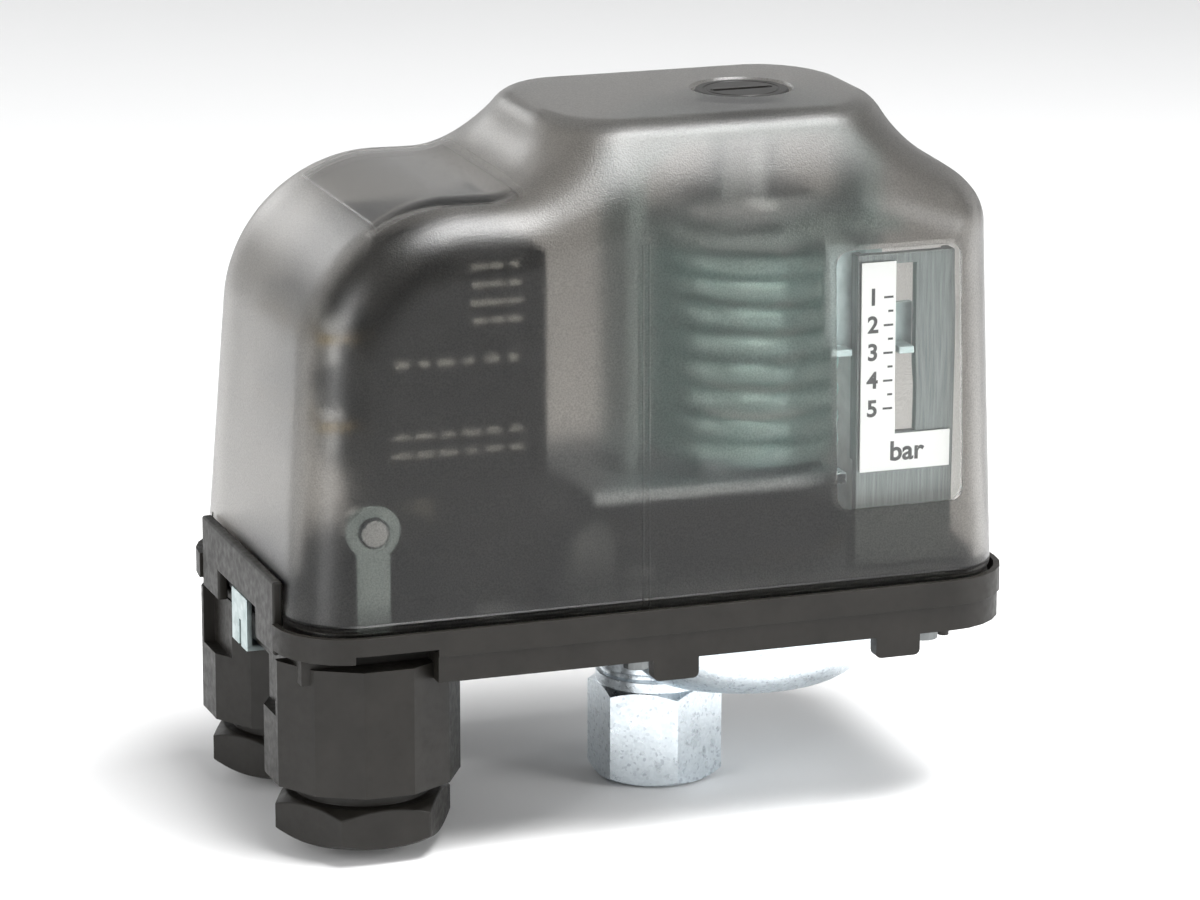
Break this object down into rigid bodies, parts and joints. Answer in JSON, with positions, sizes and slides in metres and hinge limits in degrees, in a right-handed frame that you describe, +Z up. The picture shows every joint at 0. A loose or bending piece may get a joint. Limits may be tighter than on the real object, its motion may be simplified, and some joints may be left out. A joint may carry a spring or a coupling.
{
  "type": "pressure switch",
  "caption": "Diaphragm pressure switch with a frosted cover, a scale behind a clear window, cable glands and a hexagon pressure port.",
  "frame": {"origin": "axis of the pressure port at its lower face", "axes": "+X runs along the case from the glands to the spring, +Z up, -Y is the front with the scale window"},
  "size_m": [0.1066, 0.0598, 0.0994],
  "materials": {
    "smoky_plastic": "frosted, smoky, translucent",
    "case_plastic": "fine grain, brownish black",
    "screw_plastic": "satin black",
    "block_plastic": "satin black",
    "lever_plastic": "satin black",
    "rubber": "matt",
    "zinc_port": "bright zinc with a blue tint",
    "brass": "satin",
    "copper": "satin copper alloy",
    "label_white": "matt white print film",
    "carrier_plastic": "natural cream plastic",
    "spring_steel": "zinc plated wire",
    "galvanised_steel": "galvanised sheet",
    "zinc_screw": "zinc plated"
  },
  "bodies": {
    "case": {"base": "case_plastic", "cover_seal": "rubber", "retaining_plate": "case_plastic", "plate_clip": "galvanised_steel", "gland_seal_front": "rubber", "gland_seal_rear": "rubber", "pressure_port": "zinc_port", "diaphragm_housing": "zinc_port", "diaphragm": "rubber", "bearing_plate": "galvanised_steel", "housing_screw_1": "zinc_screw", "housing_screw_2": "zinc_screw", "housing_screw_3": "zinc_screw", "housing_screw_4": "zinc_screw", "rocker_pin": "zinc_screw", "main_spring": "spring_steel", "tie_rod": "zinc_screw", "yoke": "galvanised_steel", "yoke_screw_left": "zinc_screw", "yoke_screw_right": "zinc_screw", "scale_frame": "galvanised_steel", "scale_label": "label_white", "contact_block": "block_plastic", "line_terminal_1": "brass", "line_terminal_2": "brass", "line_terminal_3": "brass", "load_terminal_1": "brass", "load_terminal_2": "brass", "load_terminal_3": "brass", "line_screw_1": "zinc_screw", "line_screw_2": "zinc_screw", "line_screw_3": "zinc_screw", "load_screw_1": "zinc_screw", "load_screw_2": "zinc_screw", "load_screw_3": "zinc_screw", "contact_spring_1": "spring_steel", "contact_spring_2": "spring_steel", "block_screw_1": "zinc_screw", "block_screw_2": "zinc_screw", "earth_bracket": "galvanised_steel", "earth_screw": "zinc_screw"},
    "cover": {"cover": "smoky_plastic"},
    "cover_screw_ring": {"cover_screw_ring": "rubber"},
    "cover_screw": {"cover_screw": "screw_plastic"},
    "gland_washer_front": {"gland_washer_front": "zinc_screw"},
    "gland_screw_front": {"gland_screw_front": "case_plastic"},
    "gland_washer_rear": {"gland_washer_rear": "zinc_screw"},
    "gland_screw_rear": {"gland_screw_rear": "case_plastic"},
    "pointer_plate": {"pointer_plate": "galvanised_steel"},
    "adjusting_nut": {"adjusting_nut": "zinc_screw"},
    "piston": {"piston": "brass"},
    "rocker_lever": {"rocker_lever": "lever_plastic"},
    "spring_seat": {"spring_seat": "galvanised_steel"},
    "contact_carrier": {"contact_carrier": "carrier_plastic", "contact_bridge_1": "copper", "contact_bridge_2": "copper", "contact_bridge_3": "copper"}
  },
  "joints": [
    {"name": "cover_lift", "type": "slide", "parent": "case", "child": "cover", "axis": [0, 0, 1], "range_m": [0, 0.07]},
    {"name": "cover_screw_rise", "type": "slide", "parent": "cover", "child": "cover_screw_ring", "axis": [0, 0, 1], "range_m": [0, 0.00599]},
    {"name": "cover_screw_turn", "type": "hinge", "parent": "cover_screw_ring", "child": "cover_screw", "pos_m": [0.0128, 0, 0.098], "axis": [0, 0, 1], "range_deg": [0, 2160]},
    {"name": "gland_front_travel", "type": "slide", "parent": "case", "child": "gland_washer_front", "axis": [0, 0, 1], "range_m": [-0.0046, 0]},
    {"name": "gland_front_turn", "type": "hinge", "parent": "gland_washer_front", "child": "gland_screw_front", "pos_m": [-0.0487, -0.0161, 0.005], "axis": [0, 0, 1], "range_deg": [-1080, 0]},
    {"name": "gland_rear_travel", "type": "slide", "parent": "case", "child": "gland_washer_rear", "axis": [0, 0, 1], "range_m": [-0.0046, 0]},
    {"name": "gland_rear_turn", "type": "hinge", "parent": "gland_washer_rear", "child": "gland_screw_rear", "pos_m": [-0.0487, 0.0161, 0.005], "axis": [0, 0, 1], "range_deg": [-1080, 0]},
    {"name": "setting_travel", "type": "slide", "parent": "case", "child": "pointer_plate", "axis": [0, 0, 1], "range_m": [-0.0081, 0.0079], "deforming": ["main_spring"]},
    {"name": "setting_turn", "type": "hinge", "parent": "pointer_plate", "child": "adjusting_nut", "pos_m": [0.0128, 0, 0.083], "axis": [0, 0, 1], "range_deg": [-1920, 1890]},
    {"name": "piston_lift", "type": "slide", "parent": "case", "child": "piston", "axis": [0, 0, 1], "range_m": [0, 0.0015], "stiffness_N_per_m": 3000, "deforming": ["diaphragm"]},
    {"name": "rocker_tilt", "type": "hinge", "parent": "case", "child": "rocker_lever", "pos_m": [-0.016, 0, 0.04], "axis": [0, -1, 0], "range_deg": [0, 3]},
    {"name": "seat_lift", "type": "slide", "parent": "case", "child": "spring_seat", "axis": [0, 0, 1], "range_m": [0, 0.0016], "deforming": ["main_spring"]},
    {"name": "carrier_travel", "type": "slide", "parent": "case", "child": "contact_carrier", "axis": [0, 0, 1], "range_m": [-0.001, 0], "deforming": ["contact_spring_1", "contact_spring_2"]}
  ],
  "couplings": [
    {"joint": "cover_screw_turn", "follows": "cover_screw_rise", "rad_per_m": 6283.2},
    {"joint": "gland_front_travel", "follows": "gland_front_turn", "m_per_rad": 0.00023873},
    {"joint": "gland_rear_travel", "follows": "gland_rear_turn", "m_per_rad": 0.00023873},
    {"joint": "setting_travel", "follows": "setting_turn", "m_per_rad": 0.00023873},
    {"joint": "rocker_tilt", "follows": "piston_lift", "rad_per_m": 34.722},
    {"joint": "seat_lift", "follows": "piston_lift", "ratio": 1},
    {"joint": "carrier_travel", "follows": "piston_lift", "ratio": -0.6424}
  ]
}
